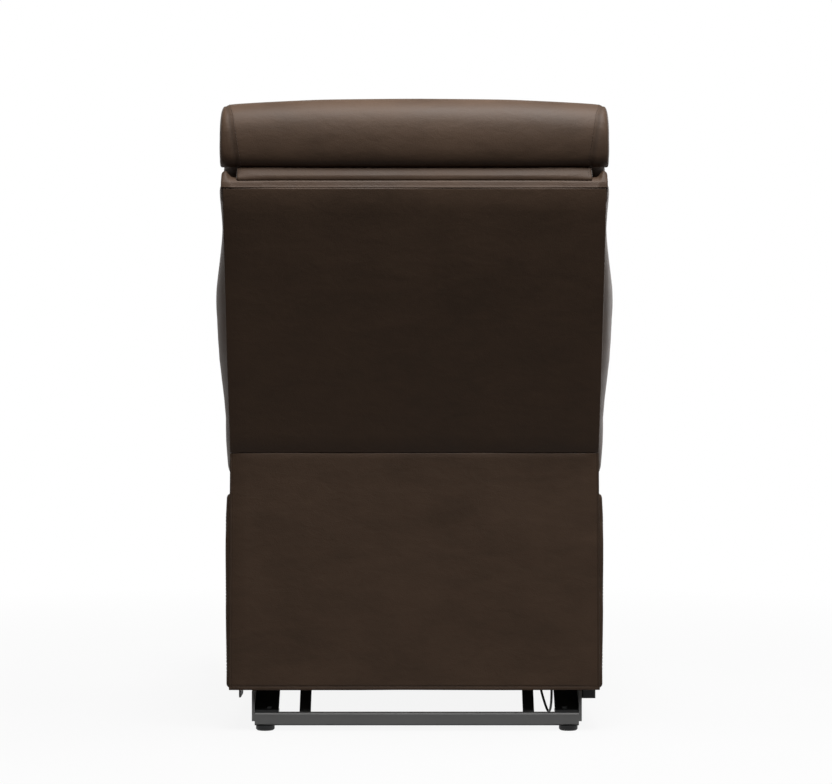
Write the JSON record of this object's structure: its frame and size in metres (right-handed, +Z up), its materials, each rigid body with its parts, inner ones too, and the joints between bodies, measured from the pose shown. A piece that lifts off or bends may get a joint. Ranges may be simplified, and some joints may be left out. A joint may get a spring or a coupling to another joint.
{
  "type": "armless recliner",
  "caption": "Armless power recliner module: leather back, seat and lift-up footrest on a steel link base, with a reclining back and a tilting headrest.",
  "frame": {"origin": "on the floor, under the middle of the chair's bounding box", "axes": "+Z up; the sitter faces -Y, so +Y points out of the back of the chair; +X is the sitter's left"},
  "size_m": [0.6348, 0.904, 0.9999],
  "materials": {
    "leather": "semi-matte brown leather",
    "padded_leather": "semi-matte brown leather over foam",
    "plywood": "plain plywood",
    "grey_steel": "satin grey powder coat",
    "black_steel": "satin black powder coat",
    "zinc_steel": "zinc plated",
    "black_plastic": "matte",
    "webbing": "woven elastic",
    "cable_jacket": "matte",
    "button_plastic": "silver grey"
  },
  "bodies": {
    "frame": {"rear_crossbar": "grey_steel", "front_crossbar": "grey_steel", "base_rivets": "zinc_steel", "inner_struts": "black_steel", "glide_feet": "black_plastic", "mount_bolts": "zinc_steel", "motor_rails": "black_steel", "leg_actuator": "black_plastic", "back_actuator": "black_plastic", "module_plates": "grey_steel", "rear_flap": "leather", "rear_board": "plywood", "seat_rails": "plywood", "seat_webbing": "webbing", "seat_cushion": "padded_leather", "control_panel": "black_plastic", "control_box": "black_plastic", "cable": "cable_jacket", "cable_clips": "black_plastic", "base_plate_left": "grey_steel", "base_plate_right": "grey_steel", "rear_strut_left": "black_steel", "rear_strut_right": "black_steel", "mechanism_plate_left": "black_steel", "mechanism_plate_right": "black_steel", "seat_side_left": "plywood", "seat_side_right": "plywood", "side_cover_left": "padded_leather", "side_cover_right": "padded_leather", "back_hinge_left": "black_steel", "back_hinge_right": "black_steel"},
    "back": {"back_panel": "padded_leather", "back_top_edge": "padded_leather", "back_cushion": "padded_leather", "back_arms": "black_steel", "back_crank_tube": "black_steel", "headrest_hinges": "black_steel"},
    "headrest": {"headrest_cushion": "padded_leather", "headrest_skirt": "padded_leather", "headrest_board": "plywood", "headrest_arms": "black_steel"},
    "front_links": {"front_link_left": "black_steel", "front_link_right": "black_steel"},
    "rear_links": {"rear_link_left": "black_steel", "rear_link_right": "black_steel", "drive_tube": "black_steel"},
    "upper_links": {"upper_link_left": "black_steel", "upper_link_right": "black_steel"},
    "lower_links": {"lower_links": "black_steel"},
    "footrest": {"footrest_bracket_left": "black_steel", "footrest_bracket_right": "black_steel", "footrest_board": "plywood", "footrest_pad": "padded_leather"},
    "leg_rod": {"leg_rod": "zinc_steel"},
    "back_rod": {"back_rod": "zinc_steel"},
    "button_1": {"button_1": "button_plastic"},
    "button_2": {"button_2": "button_plastic"},
    "button_3": {"button_3": "button_plastic"},
    "button_4": {"button_4": "button_plastic"}
  },
  "joints": [
    {"name": "footrest_swing", "type": "hinge", "parent": "frame", "child": "front_links", "pos_m": [0, -0.18836, 0.29], "axis": [-1, 0, 0], "range_deg": [0, 100]},
    {"name": "rear_link_turn", "type": "hinge", "parent": "frame", "child": "rear_links", "pos_m": [0, -0.10849, 0.26093], "axis": [-1, 0, 0], "range_deg": [0, 100]},
    {"name": "upper_link_turn", "type": "hinge", "parent": "front_links", "child": "upper_links", "pos_m": [0, -0.09033, 0.13311], "axis": [-1, 0, 0], "range_deg": [-100, 0]},
    {"name": "lower_link_turn", "type": "hinge", "parent": "front_links", "child": "lower_links", "pos_m": [0, -0.07151, 0.08143], "axis": [-1, 0, 0], "range_deg": [-100, 0]},
    {"name": "footrest_turn", "type": "hinge", "parent": "upper_links", "child": "footrest", "pos_m": [0, -0.384, 0.24], "axis": [-1, 0, 0], "range_deg": [0, 100]},
    {"name": "leg_rod_slide", "type": "slide", "parent": "frame", "child": "leg_rod", "axis": [0, -1, 0], "range_m": [0, 0.1195]},
    {"name": "back_recline", "type": "hinge", "parent": "frame", "child": "back", "pos_m": [0, 0.215, 0.395], "axis": [-1, 0, 0], "range_deg": [0, 30], "deforming": ["rear_flap"]},
    {"name": "back_rod_slide", "type": "slide", "parent": "frame", "child": "back_rod", "axis": [0, -1, 0], "range_m": [0, 0.05176]},
    {"name": "headrest_tilt", "type": "hinge", "parent": "back", "child": "headrest", "pos_m": [0, 0.30508, 0.82197], "axis": [1, 0, 0], "range_deg": [0, 35]},
    {"name": "button_1_press", "type": "slide", "parent": "frame", "child": "button_1", "axis": [1, 0, 0], "range_m": [0, 0.0015], "stiffness_N_per_m": 1500},
    {"name": "button_2_press", "type": "slide", "parent": "frame", "child": "button_2", "axis": [1, 0, 0], "range_m": [0, 0.0015], "stiffness_N_per_m": 1500},
    {"name": "button_3_press", "type": "slide", "parent": "frame", "child": "button_3", "axis": [1, 0, 0], "range_m": [0, 0.0015], "stiffness_N_per_m": 1500},
    {"name": "button_4_press", "type": "slide", "parent": "frame", "child": "button_4", "axis": [1, 0, 0], "range_m": [0, 0.0015], "stiffness_N_per_m": 1500}
  ],
  "couplings": [
    {"joint": "rear_link_turn", "follows": "footrest_swing", "ratio": 1},
    {"joint": "upper_link_turn", "follows": "footrest_swing", "ratio": -1},
    {"joint": "lower_link_turn", "follows": "footrest_swing", "ratio": -1},
    {"joint": "footrest_turn", "follows": "footrest_swing", "ratio": 1},
    {"joint": "leg_rod_slide", "follows": "footrest_swing", "m_per_rad": 0.06847},
    {"joint": "back_rod_slide", "follows": "back_recline", "m_per_rad": 0.098862}
  ]
}
